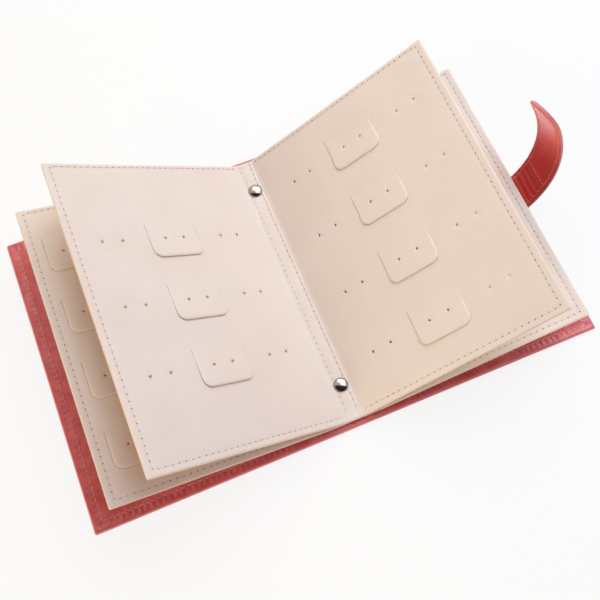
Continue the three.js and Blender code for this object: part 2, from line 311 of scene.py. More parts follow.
def leathercloth(name, colour, blotch, grain_colour, grain, rough, gloss=0.5, depth=0.12 * MM,
                 patch_size=38.0 * MM, coat=0.0):
    """Coated cloth: blotchy colour, pebbled grain darker in its hollows, and varied gloss."""
    material, nodes, links, bsdf = shader(name)
    coords = nodes.new("ShaderNodeTexCoord")
    patches = noise_texture(nodes, links, coords, patch_size, detail=4.0)
    pebbles = cells_texture(nodes, links, coords, grain)
    fibre = noise_texture(nodes, links, coords, FIBRE_SIZE * grain, detail=2.0)
    patch = ranged(nodes, links, patches.outputs["Fac"], 0.0, 1.0, *PATCH_RANGE)
    base = mixed(nodes, links, patch, colour, blotch)
    hollow = ranged(nodes, links, pebbles.outputs["Distance"], HOLLOW_TINT, 0.0, 0.0, HOLLOW_WIDTH)
    links.new(mixed(nodes, links, hollow, base, grain_colour), bsdf.inputs["Base Color"])
    glossy, dull = rough - ROUGH_SPREAD, rough + ROUGH_SPREAD
    roughness = ranged(nodes, links, patches.outputs["Fac"], glossy, dull, *NOISE_RANGE)
    links.new(roughness, bsdf.inputs["Roughness"])
    bsdf.inputs["Specular IOR Level"].default_value = gloss
    bsdf.inputs["Coat Weight"].default_value = coat
    bsdf.inputs["Coat Roughness"].default_value = COAT_ROUGHNESS
    bumps(nodes, links, bsdf, [
        (pebbles.outputs["Distance"], depth, 0.5),
        (fibre.outputs["Fac"], FIBRE_DEPTH * depth, 0.4),
        (patches.outputs["Fac"], PATCH_DEPTH, 0.25),
    ])
    return material


def thread(name, colour, shade, size=0.5 * MM):
    """Twisted sewing thread, its colour varied over a size."""
    material, nodes, links, bsdf = shader(name)
    coords = nodes.new("ShaderNodeTexCoord")
    twist = noise_texture(nodes, links, coords, size, detail=2.0)
    factor = ranged(nodes, links, twist.outputs["Fac"], 0.0, 1.0, *NOISE_RANGE)
    links.new(mixed(nodes, links, factor, colour, shade), bsdf.inputs["Base Color"])
    bsdf.inputs["Roughness"].default_value = THREAD_ROUGHNESS
    bumps(nodes, links, bsdf, [(twist.outputs["Fac"], TWIST_DEPTH, 0.5)])
    return material


def metal(name, colour, rough, scratch):
    """Plated metal with fine scratches."""
    material, nodes, links, bsdf = shader(name)
    coords = nodes.new("ShaderNodeTexCoord")
    scratches = noise_texture(nodes, links, coords, scratch, detail=5.0)
    tone = ranged(nodes, links, scratches.outputs["Fac"], 0.0, 1.0, *NOISE_RANGE)
    darker = tuple(SCRATCH_TONE * value for value in colour[:3]) + (1.0,)
    links.new(mixed(nodes, links, tone, colour, darker), bsdf.inputs["Base Color"])
    roughness = ranged(nodes, links, scratches.outputs["Fac"], rough, rough + SCRATCH_ROUGHNESS)
    links.new(roughness, bsdf.inputs["Roughness"])
    bsdf.inputs["Metallic"].default_value = 1.0
    bumps(nodes, links, bsdf, [(scratches.outputs["Fac"], SCRATCH_DEPTH, 0.15)])
    return material


CREAM = leathercloth("cream_leathercloth", linear(238, 224, 215), linear(235, 220, 210),
                     linear(223, 204, 190), grain=0.9 * MM, rough=0.5)
# Lighter, peachier cream for rims and edge walls: a painted highlight where the edges catch the light
CREAM_EDGE_HIGHLIGHT = leathercloth("cream_edge_highlight", linear(248, 228, 214), linear(244, 220, 204),
                          linear(236, 210, 194), grain=0.6 * MM, rough=0.6)
RED_LINING = leathercloth("red_lining", linear(216, 104, 106), linear(198, 82, 86),
                          linear(180, 66, 70), grain=0.8 * MM, rough=0.36, gloss=0.6,
                          depth=0.16 * MM, patch_size=7.0 * MM, coat=0.2)
RED_CLOTH = leathercloth("red_leathercloth", linear(180, 52, 56), linear(166, 42, 46),
                         linear(136, 28, 32), grain=0.9 * MM, rough=0.34, gloss=0.6,
                         depth=0.16 * MM, patch_size=24.0 * MM, coat=0.3)
# Pale pink for the red rims: a painted highlight, standing in for the floor's reflection on the rounded
# edges
RED_EDGE_HIGHLIGHT = leathercloth("red_edge_highlight", linear(236, 152, 154), linear(226, 132, 136),
                        linear(212, 112, 116), grain=0.7 * MM, rough=0.34, gloss=0.6,
                        depth=0.1 * MM, patch_size=9.0 * MM, coat=0.3)
# Brighter copy of the red lining: light painted onto the strap, lighter than the cover's lining of the same
# cloth
STRAP_LINING_LIT = leathercloth("strap_lining_lit", linear(255, 106, 100), linear(252, 94, 88),
                            linear(240, 78, 74), grain=0.8 * MM, rough=0.32, gloss=1.0,
                            depth=0.04 * MM, patch_size=12.0 * MM, coat=0.5)
CREAM_THREAD = thread("cream_thread", linear(233, 216, 204), linear(214, 194, 178))
PINK_THREAD = thread("pink_thread", linear(244, 168, 162), linear(226, 132, 128))
STRAP_THREAD = thread("strap_thread", linear(255, 178, 170), linear(252, 160, 152))
# Dark spots that paint the shade inside the needle holes, stronger or weaker at random
NEEDLE_HOLE_SHADE = thread("needle_hole_shade", linear(194, 170, 156), linear(132, 108, 96), size=7.0 * MM)
# Dark red spots that paint the shade inside the cover's needle holes
RED_HOLE_SHADE = thread("red_needle_hole_shade", linear(104, 24, 28), linear(84, 18, 22))
NICKEL = metal("nickel", linear(172, 158, 152), rough=0.1, scratch=3 * MM)
MAGNET = metal("magnet_steel", linear(124, 126, 130), rough=0.35, scratch=2 * MM)


# Flat panels

# Rings of points round a hole's edge, by the distance outside it
HOLE_RINGS = (0.0, 0.35 * MM, 1.0 * MM)
HOLE_SIDES = 12
WINDOW_RINGS = (0.0, 0.5 * MM, 1.6 * MM)
WINDOW_SPACING = 2.5 * MM
HOLE_MARGIN = 2.4 * MM
# Widest turn between the points of a round corner, in radians
CORNER_STEP = 0.3
# Tolerances of the triangles, in metres, and the least of twice their area, in square metres
SLACK = 1e-6
MERGE_DISTANCE = 1e-7
LEAST_DOUBLE_AREA = 1e-14
SHARP_ANGLE = math.radians(60)
# Materials of a shell's faces. On the leaves, the cover and the strap, the edge's material is lighter than
# the face: a painted highlight along the rim.
FRONT, BACK, EDGE = range(3)


def steps(low, high, spacing):
    """Evenly spaced numbers from low to high, both included."""
    count = max(1, round(abs(high - low) / spacing))
    return np.linspace(low, high, count + 1)


def smooth(value, low, high):
    """0 below low, 1 above high, smooth between."""
    share = np.clip((value - low) / (high - low), 0, 1)
    return share * share * (3 - 2 * share)


def ridge(distance, centre, width):
    """1 on a line, falling off on both sides."""
    return np.exp(-((distance - centre) / width) ** 2)


def fall(distance, drop, width, power):
    """Fall of a face towards its edge: the whole drop at the edge, none from a width inside it."""
    return drop * np.clip(1 - distance / width, 0, 1) ** power


def waves(u, v, size, seed):
    """Soft unevenness from -1 to 1."""
    return np.array([noise.noise(Vector((a / size, b / size, seed))) for a, b in zip(u, v)])


def inside(points, polygon):
    """Which of the points lie in a closed polygon."""
    x, y = points[:, 0], points[:, 1]
    found = np.zeros(len(points), bool)
    ends = np.roll(polygon, -1, axis=0)
    for (ax, ay), (bx, by) in zip(polygon, ends):
        if ay == by:
            continue
        crosses = (ay > y) != (by > y)
        found ^= crosses & (x < (bx - ax) * (y - ay) / (by - ay) + ax)
    return found


class Panel:
    """Cut piece with a plain inner edge at u = start, two sides at v = -half and half, and a far end at
    u = end with round corners. With open_end the far end is plain too."""

    def __init__(self, start, end, half, radius=0.0, open_end=False):
        self.start = start
        self.end = end
        self.half = half
        self.radius = radius
        self.open_end = open_end

    def edge_distance(self, u, v):
        """How far inside the finished edge a point is."""
        side = self.half - np.abs(v)
        if self.open_end:
            return side
        far = self.end - u
        distance = np.minimum(side, far)
        corner = (side < self.radius) & (far < self.radius)
        rounded = self.radius - np.hypot(self.radius - side, self.radius - far)
        return np.where(corner, rounded, distance)

    def line(self, inset, spacing):
        """Line round the finished edge, at a distance inside it."""
        half = self.half - inset
        turn = self.end - max(self.radius, inset)
        points = [(u, -half) for u in steps(self.start, turn, spacing)]
        radius = self.radius - inset
        centre = half - max(radius, 0)
        if radius > 0:
            for angle in steps(-math.pi / 2, 0, min(spacing / radius, CORNER_STEP))[1:]:
                points.append((turn + radius * math.cos(angle), -centre + radius * math.sin(angle)))
        far = self.end - inset
        across = [(far, v) for v in steps(-centre, centre, spacing)[1:-1]]
        return points + across + [(u, -v) for u, v in reversed(points)]

    def lines(self, inset, spacing):
        """The lines at a distance inside the finished edges."""
        if not self.open_end:
            return [self.line(inset, spacing)]
        along = steps(self.start, self.end, spacing)
        return [[(u, side * (self.half - inset)) for u in along] for side in (-1, 1)]

    def cross_line(self, u, spacing):
        """Straight line across the panel."""
        return [(u, v) for v in steps(-self.half, self.half, spacing)]


class RoundHole:
    """Stud hole."""

    def __init__(self, u, v, diameter):
        self.centre = (u, v)
        self.radius = diameter / 2

    def ring(self, radius):
        """Points of a circle about the hole's middle."""
        turns = np.arange(HOLE_SIDES) * 2 * math.pi / HOLE_SIDES
        u, v = self.centre
        return [(u + radius * math.cos(a), v + radius * math.sin(a)) for a in turns]

    def rings(self):
        """The hole's edge and the wider rings, each with True for closed."""
        return [(self.ring(self.radius + out), True) for out in HOLE_RINGS]

    def distance(self, u, v):
        """How far outside the hole a point is."""
        return np.hypot(u - self.centre[0], v - self.centre[1]) - self.radius


class Window:
    """Opening of a flap: root line at the top, round corners at the bottom. The flap hangs towards -v."""

    def __init__(self, centre, root, half, length, radius):
        self.centre = centre
        self.root = root
        self.tongue = Panel(0.0, length, half, radius)

    def turned(self, points):
        """Points of the tongue as points of the leaf."""
        return [(self.centre + across, self.root - along) for along, across in points]

    def rings(self):
        """The window's edge, which is closed, and the wider lines, which are open at the root."""
        rings = []
        for out in WINDOW_RINGS:
            rings.append((self.turned(self.tongue.line(-out, WINDOW_SPACING)), out == 0.0))
        return rings

    def distance(self, u, v):
        """How far outside the window a point is."""
        return -self.tongue.edge_distance(self.root - v, u - self.centre)


def kept_lines(panel, insets, spacing, holes, cross):
    """Lines of points that a panel's triangles follow, each with whether it is closed. The first one is
    the outline."""
    if panel.open_end:
        low, high = panel.lines(0.0, spacing)
        outline = low + high[::-1]
    else:
        outline = panel.line(0.0, spacing)
    lines = [(outline, True)]
    for inset in insets:
        lines += [(line, False) for line in panel.lines(inset, spacing)]
    lines += [(panel.cross_line(u, spacing), False) for u in cross]
    for hole in holes:
        lines += hole.rings()
    return lines


def grid_points(panel, margin, grid, holes, cross):
    """Points of an even grid inside a margin, away from the holes and from the lines across."""
    last = panel.end - (0.5 * grid if panel.open_end else margin)
    rows = steps(-panel.half + margin, panel.half - margin, grid)
    u, v = np.meshgrid(steps(panel.start, last, grid), rows)
    u, v = u.ravel(), v.ravel()
    keep = panel.edge_distance(u, v) > margin - SLACK
    for hole in holes:
        keep &= hole.distance(u, v) > HOLE_MARGIN
    for line in cross:
        keep &= np.abs(u - line) > 0.5 * grid
    return list(zip(u[keep], v[keep]))


def triangles(panel, insets, spacing, grid, holes=(), cross=()):
    """Points and triangles of a panel with lines of points along its edges and round its holes."""
    lines = kept_lines(panel, insets, spacing, holes, cross)
    points, edges = [], []
    for line, closed in lines:
        first, last = len(points), len(points) + len(line) - 1
        points += line
        edges += [(i, i + 1) for i in range(first, last)]
        if closed:
            edges.append((last, first))
    points += grid_points(panel, max(insets) + 0.6 * grid, grid, holes, cross)
    points = [Vector(point) for point in points]
    made, _, faces, *_ = delaunay_2d_cdt(points, edges, [], 0, MERGE_DISTANCE)
    flat = np.array([(point.x, point.y) for point in made])
    faces = np.array(faces)
    middle = flat[faces].mean(1)
    keep = inside(middle, np.array(lines[0][0]))
    for hole in holes:
        keep &= ~inside(middle, np.array(hole.rings()[0][0]))
    faces = faces[keep]
    first, second, third = (flat[faces[:, i]] for i in range(3))
    turn = (second - first)[:, 0] * (third - first)[:, 1] - (second - first)[:, 1] * (third - first)[:, 0]
    faces[turn < 0] = faces[turn < 0][:, ::-1]
    used, faces = np.unique(faces[np.abs(turn) > LEAST_DOUBLE_AREA], return_inverse=True)
    return flat[used], faces.reshape(-1, 3)


def new_object(name, vertices, faces, materials, indices):
    """Smooth mesh object with one material index for each face."""
    mesh = bpy.data.meshes.new(name)
    mesh.from_pydata([tuple(v) for v in vertices], [], [tuple(f) for f in faces])
    for material in materials:
        mesh.materials.append(material)
    mesh.polygons.foreach_set("material_index", np.array(indices, np.int32))
    mesh.polygons.foreach_set("use_smooth", np.ones(len(faces), bool))
    mesh.set_sharp_from_angle(angle=SHARP_ANGLE)
    mesh.update()
    obj = bpy.data.objects.new(name, mesh)
    bpy.context.scene.collection.objects.link(obj)
    return obj


def shell(name, flat, faces, front, back, place, materials, border=None):
    """Closed piece between a front and a back surface. Mirrored places are turned right side out. The front
    faces where border is true take the edge's material, which on the leaves, cover and strap is a lighter
    painted highlight."""
    count = len(flat)
    u, v = flat[:, 0], flat[:, 1]
    vertices = np.concatenate([place(u, v, front), place(u, v, back)])
    directed = np.concatenate([faces[:, [0, 1]], faces[:, [1, 2]], faces[:, [2, 0]]])
    known = {tuple(edge) for edge in directed}
    rim = [(a, b) for a, b in directed if (b, a) not in known]
    made = [tuple(face) for face in faces]
    made += [tuple(face[::-1] + count) for face in faces]
    made += [(b, a, a + count, b + count) for a, b in rim]
    first, second, third = (vertices[faces[0][i]] for i in range(3))
    facing = np.cross(second - first, third - first) @ (first - vertices[faces[0][0] + count])
    if facing < 0:
        made = [face[::-1] for face in made]
    fronts = np.full(len(faces), FRONT)
    if border is not None:
        fronts[border[faces].all(1)] = EDGE
    indices = [*fronts, *[BACK] * len(faces), *[EDGE] * len(rim)]
    return new_object(name, vertices, made, materials, indices)


def flat_place(origin, along, across, normal):
    """Maps panel coordinates to a flat panel in space."""
    base, u_axis, v_axis, n_axis = (np.array(vector) for vector in (origin, along, across, normal))

    def place(u, v, z):
        u, v, z = np.atleast_1d(u), np.atleast_1d(v), np.atleast_1d(z)
        return base + u[:, None] * u_axis + v[:, None] * v_axis + z[:, None] * n_axis

    return place


# Tubes and sewing

STITCH_SIDES = 6
# Rings of a stitch: share of its length, and thickness and rise in radii of the thread
STITCH_RINGS = [(0.06, 0.4, -0.8), (0.2, 0.9, 0.1), (0.5, 1.0, 0.4), (0.8, 0.9, 0.1), (0.94, 0.4, -0.8)]
# Heights of a needle hole's spot over the cloth, and a direction that none of the faces looks in
PIT_TOP = 0.10 * MM
PIT_RIM = 0.02 * MM
PIT_TURN = (0.3, 0.9, 0.2)
# Materials of the sewing's faces: the thread, and the spot at each needle hole, which on the leaves and the
# cover is painted shade
THREAD, PIT = range(2)


def circle(centre, first_axis, second_axis, radius, sides):
    """Points round a centre, in the plane of two directions."""
    turns = [2 * math.pi * k / sides for k in range(sides)]
    return [centre + radius * (math.cos(a) * first_axis + math.sin(a) * second_axis) for a in turns]


def tube_faces(first, rings, sides):
    """Faces of a tube through rings of points, closed flat at both ends. first is its first point."""
    faces = []
    for ring in range(rings - 1):
        start = first + ring * sides
        for k in range(sides):
            after = (k + 1) % sides
            faces.append((start + k, start + after, start + sides + after, start + sides + k))
    last = first + (rings - 1) * sides
    faces.append(tuple(first + k for k in reversed(range(sides))))
    faces.append(tuple(last + k for k in range(sides)))
    return faces


def even_points(line, pitch):
    """Points along a line, about a pitch apart."""
    line = np.array(line)
    length = np.concatenate([[0], np.cumsum(np.hypot(*np.diff(line, axis=0).T))])
    places = np.linspace(0, length[-1], max(2, round(length[-1] / pitch)) + 1)
    return np.column_stack([np.interp(places, length, line[:, axis]) for axis in (0, 1)])


def needle_hole_shade(spot, normal, radius, first):
    """Points and faces of the spot of painted shade where the needle went in. first is its first point."""
    side = np.cross(normal, PIT_TURN)
    side /= np.linalg.norm(side)
    points = [spot + PIT_TOP * normal]
    points += circle(spot + PIT_RIM * normal, side, np.cross(normal, side), radius, STITCH_SIDES)
    faces = [(first, first + 1 + k, first + 1 + (k + 1) % STITCH_SIDES) for k in range(STITCH_SIDES)]
    return points, faces


def stitch(before, spot, normal, radius, first):
    """Points and faces of an arched stitch between two needle holes. first is its first point."""
    span = spot - before
    across = np.cross(normal, span)
    across /= np.linalg.norm(across)
    points = []
    for share, size, rise in STITCH_RINGS:
        centre = before + share * span + rise * radius * normal
        points += circle(centre, across, normal, size * radius, STITCH_SIDES)
    return points, tube_faces(first, len(STITCH_RINGS), STITCH_SIDES)


def sewing(name, rows, pitch, place, height, outward, materials, radius, pit):
    """Rows of arched stitches, with a needle hole at both ends of each. outward is 1 on the front face
    and -1 on the back face. radius is the thread's and pit is the needle holes' radius."""
    vertices, faces, indices = [], [], []

    def add(piece, index):
        points, made = piece
        vertices.extend(points)
        faces.extend(made)
        indices.extend([index] * len(made))

    for row in rows:
        spots = even_points(row, pitch)
        u, v = spots[:, 0], spots[:, 1]
        ground = height(u, v)
        low = place(u, v, ground)
        normals = (place(u, v, ground + outward * MM) - low) / MM
        for i, (spot, normal) in enumerate(zip(low, normals)):
            add(needle_hole_shade(spot, normal, pit, len(vertices)), PIT)
            if i > 0:
                add(stitch(low[i - 1], spot, normal, radius, len(vertices)), THREAD)
    return new_object(name, vertices, faces, materials, indices)


# Leaves

def leaf_frame(number):
    """Origin on the strip's edge, direction away from the strip, and facing of a leaf."""
    origin = Vector(JOINTS[f"leaf_{number}_carry"]["pos_m"])
    turn = Vector(JOINTS[f"leaf_{number}_turn"]["pos_m"])
    along = (turn - origin).normalized()
    side = math.copysign(1, along.x)
    normal = Vector((-side * along.z, 0, abs(along.x)))
    return origin, along, normal


def leaf_reach(number):
    """Length of a leaf from its strip to its outer edge."""
    origin, along, _ = leaf_frame(number)
    low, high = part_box(f"leaf_{number}_front_skin")
    far = low.x if along.x < 0 else high.x
    return (far - origin.x) / along.x


PAGE_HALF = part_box("outer_folio_strip")[1].y
RIM_LINES = [0.15 * MM, 0.4 * MM, 0.8 * MM, 1.3 * MM, 2.0 * MM]
FLAP_LINES = RIM_LINES[:-1] + [2.2 * MM]
LEAF_LINES = RIM_LINES + [offset * MM for offset in (2.8, 3.6, 4.2, 4.8, 5.4, 6.4, 8.5)]


def leaf_relief(distance):
    """Height of a leaf's face by the distance from its edge: falling rim, soft border, flat middle."""
    border = LEAF_BORDER_SINK * ridge(distance, LEAF_SIDE_SEAM, LEAF_BORDER_WIDTH)
    middle = LEAF_CROWN * smooth(distance, LEAF_SIDE_SEAM, 2.6 * LEAF_SIDE_SEAM)
    return -fall(distance, *LEAF_RIM) - border + middle


def leaf_seam(panel):
    """Sewing line of a leaf, nearer to its top edge than to its side and bottom."""
    far = panel.end - LEAF_SIDE_SEAM
    low, high = LEAF_BOTTOM_SEAM - panel.half, panel.half - LEAF_TOP_SEAM
    points = [(u, low) for u in steps(panel.start, far, SEAM_STEP)]
    points += [(far, v) for v in steps(low, high, SEAM_STEP)[1:]]
    points += [(u, high) for u in steps(far, panel.start, SEAM_STEP)[1:]]
    return points


def stud_holes(number):
    """Stud holes beside the flaps, and the flaps' windows, on a leaf."""
    middle = leaf_reach(number) - PAIR_FROM_EDGE
    holes, windows = [], []
    for row in range(ROWS[number]):
        v = ((ROWS[number] - 1) / 2 - row) * ROW_PITCH - ROW_DROP[number]
        for column in (-1, 0, 1):
            centre = middle + column * PAIR_PITCH
            if column == FLAP_COLUMNS[number]:
                windows.append(Window(centre, v + FLAP_ABOVE, FLAP_HALF + FLAP_KERF,
                                      FLAP_ABOVE + FLAP_BELOW + FLAP_KERF, FLAP_CORNER + FLAP_KERF))
                continue
            for place in (-0.5, 0.5):
                holes.append(RoundHole(centre + place * PAIR_SPACING, v, STUD_HOLE))
    return holes, windows


def hole_relief(u, v, holes):
    """Pressed lip round each stud hole, falling into it."""
    height = np.zeros(len(u))
    for hole in holes:
        distance = hole.distance(u, v)
        height += LIP_RISE * ridge(distance, LIP_FROM_HOLE, LIP_WIDTH)
        height -= fall(distance, *LIP_FALL)
    return height


def leaf(number):
    """Leaf sheet from the middle of its fold to its outer edge, with its sewing and flaps."""
    origin, along, normal = leaf_frame(number)
    panel = Panel(FOLD_REACH, leaf_reach(number), PAGE_HALF, LEAF_CORNER)
    place = flat_place(origin, along, PAGE_UP, normal)
    holes, windows = stud_holes(number)
    flat, faces = triangles(panel, LEAF_LINES, spacing=3.0 * MM, grid=5.0 * MM, holes=holes + windows)

    def front_height(u, v):
        distance = panel.edge_distance(u, v)
        calm = smooth(u, FOLD_REACH, 5 * FOLD_REACH)
        return leaf_relief(distance) + LEAF_UNEVEN * calm * waves(u, v, size=45 * MM, seed=7.3 * number)

    def back_height(u, v):
        return fall(panel.edge_distance(u, v), *LEAF_THINNING) - LEAF_THICKNESS

    u, v = flat[:, 0], flat[:, 1]
    lips = hole_relief(u, v, holes)
    # The leaf's rim band and edge walls take the painted edge highlight
    sheet = shell(f"leaf_{number}_sheet", flat, faces, front_height(u, v) + lips,
                  back_height(u, v) - lips, place, [CREAM, CREAM, CREAM_EDGE_HIGHLIGHT],
                  panel.edge_distance(u, v) < LEAF_HIGHLIGHT_BAND)
    nodes = [f"leaf_{number}_{part}" for part in ("front_skin", "core", "back_skin")]
    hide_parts(*nodes)
    rows = [leaf_seam(panel)]
    materials = [CREAM_THREAD, NEEDLE_HOLE_SHADE]
    front = sewing(f"leaf_{number}_seam_front", rows, LEAF_STITCH, place, front_height, 1, materials,
                   LEAF_THREAD_RADIUS, LEAF_PIT_RADIUS)
    back = sewing(f"leaf_{number}_seam_back", rows, LEAF_STITCH, place, back_height, -1, materials,
                  LEAF_THREAD_RADIUS, LEAF_PIT_RADIUS)
    start, end = (origin + reach * along for reach in LEAF_BEND)
    for piece in (sheet, front, back):
        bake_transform(piece)
        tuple(start)
        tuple(end)
    for row, window in enumerate(windows):
        flap(number, row + 1, window, front_height)


def flap(number, row, window, leaf_height):
    """Flap slit out of a leaf, standing a little proud at its free edge."""
    origin, along, normal = leaf_frame(number)
    length = FLAP_ABOVE + FLAP_BELOW
    root = origin + window.centre * along + window.root * PAGE_UP + Vector((FLAP_SHIFT, 0, 0))
    place = flat_place(root, -PAGE_UP, along, normal)
    panel = Panel(FLAP_START, length, FLAP_HALF, FLAP_CORNER)
    holes = [RoundHole(FLAP_ABOVE, share * PAIR_SPACING, STUD_HOLE) for share in (-0.5, 0.5)]
    flat, faces = triangles(panel, FLAP_LINES, spacing=1.8 * MM, grid=3.0 * MM, holes=holes)
    u, v = flat[:, 0], flat[:, 1]
    free = smooth(u, 0.0, FLAP_FREE)
    rim = -free * fall(panel.edge_distance(u, v), *FLAP_RIM)
    lift = FLAP_LIFT * np.clip(u / length, 0, 1) ** FLAP_LIFT_POWER
    ground = leaf_height(window.centre + v, window.root - u) * (1 - 0.5 * free)
    lips = hole_relief(u, v, holes)
    body = shell(f"leaf_{number}_flap_sheet_{row}", flat, faces, ground + lift + rim + lips,
                 -FLAP_THICKNESS + lift - lips, place, [CREAM, CREAM, CREAM])
    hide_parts(f"leaf_{number}_flap_{row}")
    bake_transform(body)


def fold(number, strip):
    """Half of a folio's strip and the bend up to its leaf, with a row of sewing."""
    origin, along, _ = leaf_frame(number)
    side = math.copysign(1, along.x)
    angle = math.asin(along.z)
    radius = FOLD_REACH / math.tan(angle / 2)
    bend_start = abs(origin.x) - FOLD_REACH
    length = bend_start + radius * angle
    panel = Panel(0.0, length, PAGE_HALF, open_end=True)

    def place(u, v, z):
        u, v, z = np.atleast_1d(u), np.atleast_1d(v), np.atleast_1d(z)
        turn = np.clip((u - bend_start) / radius, 0, angle)
        straight = np.minimum(u, bend_start)
        x = straight + (radius - z) * np.sin(turn)
        height = origin.z + radius - (radius - z) * np.cos(turn)
        return np.column_stack([side * x, v, height])

    cross = [u for u in steps(bend_start, length, FOLD_STEP)[1:-1]
             if all(abs(u - mark) > FOLD_CLEAR for mark in (STRIP_SEAM, STRIP_EDGE))]
    cross += [STRIP_SEAM + offset * MM for offset in (-0.8, -0.4, 0.0, 0.4)]
    cross += [STRIP_EDGE + offset * MM for offset in (-0.6, -0.3, 0.0, 0.3, 0.6)]
    flat, faces = triangles(panel, RIM_LINES, spacing=3.0 * MM, grid=3.0 * MM, cross=cross)

    def front_height(u, v):
        calm = smooth(length - u, 0.0, 5 * MM) * smooth(u, 0.0, 2 * MM)
        wrinkle = FOLD_WRINKLE * calm * waves(u, v, size=9 * MM, seed=3.1 * number)
        groove = -FOLD_GROOVE * ridge(u, STRIP_SEAM, FOLD_GROOVE_WIDTH)
        band = STRIP_BAND * (1 - smooth(u, STRIP_EDGE - STRIP_SLOPE, STRIP_EDGE + STRIP_SLOPE))
        return leaf_relief(panel.edge_distance(u, v)) + wrinkle + groove + band

    u, v = flat[:, 0], flat[:, 1]
    back = FOLD_THINNING * fall(panel.edge_distance(u, v), *LEAF_THINNING) - STRIP_THICKNESS
    # The bend's edge walls take the painted edge highlight
    sheet = shell(f"leaf_{number}_bend", flat, faces, front_height(u, v), back, place,
                  [CREAM, CREAM, CREAM_EDGE_HIGHLIGHT])
    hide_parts(f"leaf_{number}_fold", f"{strip}_folio_strip")
    heights = steps(LEAF_BOTTOM_SEAM - PAGE_HALF, PAGE_HALF - LEAF_TOP_SEAM, SEAM_STEP)
    row = [(STRIP_SEAM, v) for v in heights]
    seam = sewing(f"leaf_{number}_bend_seam", [row], LEAF_STITCH, place, front_height, 1,
                  [CREAM_THREAD, NEEDLE_HOLE_SHADE], LEAF_THREAD_RADIUS, LEAF_PIT_RADIUS)
    for piece in (sheet, seam):
        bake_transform(piece)


# Cover

COVER_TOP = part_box("front_cover_lining")[1].z
COVER_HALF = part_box("front_cover_lining")[1].y
COVER_LINES = [0.15 * MM, 0.5 * MM, 1.0 * MM, 1.8 * MM, 3.2 * MM, 5.2 * MM]
COVER_LINES += [COVER_SEAM + offset * MM for offset in (-0.9, 0.0, 0.9, 2.2, 3.8, 5.6)]


def scales(u, v, seed):
    """Embossed hide: plates with grooves between them, 0 in a groove and 1 on a plate."""
    height = np.zeros(len(u))
    for i, (a, b) in enumerate(zip(u, v)):
        reach, _ = noise.voronoi(Vector((a / SCALE_LENGTH, b / SCALE_WIDTH, seed)))
        height[i] = min(1.0, SCALE_STEEPNESS * (reach[1] - reach[0]))
    return height


def cover_heights(panel, hinge, seed):
    """Front and back height functions of a cover or spine panel."""
    def front(u, v):
        distance = panel.edge_distance(u, v)
        seam = -SEAM_SINK * ridge(distance, COVER_SEAM, COVER_SEAM_WIDTH)
        fore = panel.end - u < panel.half - np.abs(v)
        drawn = np.cos(2 * math.pi * np.where(fore, v, u) / COVER_STITCH)
        drawn = drawn + PUCKER_JITTER * waves(u, v, size=6 * MM, seed=seed)
        depth = np.where(fore, FORE_EDGE_PUCKER, HEAD_PUCKER)
        beside = ridge(distance, COVER_SEAM - PUCKER_FROM_SEAM, PUCKER_WIDTH)
        pucker = depth * beside * (np.minimum(drawn, PUCKER_TOP) - PUCKER_TOP)
        gutter = -GUTTER_SINK * ridge(np.abs(u), hinge, GUTTER_WIDTH)
        uneven = waves(u, v, size=50 * MM, seed=seed + 4) - 1
        soft = COVER_UNEVEN * smooth(distance, 4 * MM, 20 * MM) * uneven
        return COVER_TOP - fall(distance, *COVER_RIM) + seam + pucker + gutter + soft

    def back(u, v):
        distance = panel.edge_distance(u, v)
        plates = COVER_SCALE_DEPTH * (1 - scales(u, v, seed)) * smooth(distance, 0.5 * MM, 3 * MM)
        gutter = GUTTER_SINK * ridge(np.abs(u), hinge, GUTTER_WIDTH)
        return fall(distance, *COVER_RIM) + plates + gutter

    return front, back


def cover_body(name, panel, place, front, back):
    """Panel of a cover or the spine: lining inside, embossed leathercloth outside."""
    flat, faces = triangles(panel, COVER_LINES, COVER_SPACING, COVER_GRID)
    u, v = flat[:, 0], flat[:, 1]
    # The rim band and edge walls take the pink painted highlight
    body = shell(f"{name}_panel", flat, faces, front(u, v), back(u, v), place,
                 [RED_LINING, RED_CLOTH, RED_EDGE_HIGHLIGHT], panel.edge_distance(u, v) < COVER_HIGHLIGHT_BAND)
    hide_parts(*(f"{name}_{part}" for part in ("skin", "board", "lining")))
    return body


def cover(name, side):
    """Cover panel from the spine to the fore-edge, sewn round its three free edges."""
    low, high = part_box(f"{name}_lining")
    reach = max(abs(low.x), abs(high.x))
    hinge = abs(JOINTS[f"{name}_fold"]["pos_m"][0])
    panel = Panel(SPINE_SPLIT, reach, COVER_HALF, COVER_CORNER)
    place = flat_place((0, 0, 0), (side, 0, 0), PAGE_UP, UP)
    front, back = cover_heights(panel, hinge, COVER_SEED + side)
    body = cover_body(name, panel, place, front, back)
    rows = [panel.line(COVER_SEAM, SEAM_STEP)]
    materials = [PINK_THREAD, RED_HOLE_SHADE]
    seam = sewing(f"{name}_seam", rows, COVER_STITCH, place, front, 1, materials,
                  COVER_THREAD_RADIUS, COVER_PIT_RADIUS)
    outer = sewing(f"{name}_seam_outside", rows, COVER_STITCH, place, back, -1, materials,
                   OUTSIDE_THREAD_RADIUS, OUTSIDE_PIT_RADIUS)
    for piece in (body, seam, outer):
        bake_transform(piece)


def spine():
    """Middle of the spine, between the two covers' panels."""
    panel = Panel(-SPINE_SPLIT, SPINE_SPLIT, COVER_HALF, open_end=True)
    place = flat_place((0, 0, 0), (1, 0, 0), PAGE_UP, UP)
    hinge = abs(JOINTS["front_cover_fold"]["pos_m"][0])
    front, back = cover_heights(panel, hinge, COVER_SEED)
    body = cover_body("spine", panel, place, front, back)
    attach(body, "spine")


# Rivets

def lathe(name, y, profile, material):
    """Turned piece about an upright axis through (0, y), closed flat at both ends."""
    x_axis, y_axis, _ = np.eye(3)
    vertices = []
    for radius, z in profile:
        vertices += circle(np.array((0.0, y, z)), x_axis, y_axis, radius, RIVET_SIDES)
    faces = tube_faces(0, len(profile), RIVET_SIDES)
    return new_object(name, vertices, faces, [material], [0] * len(faces))


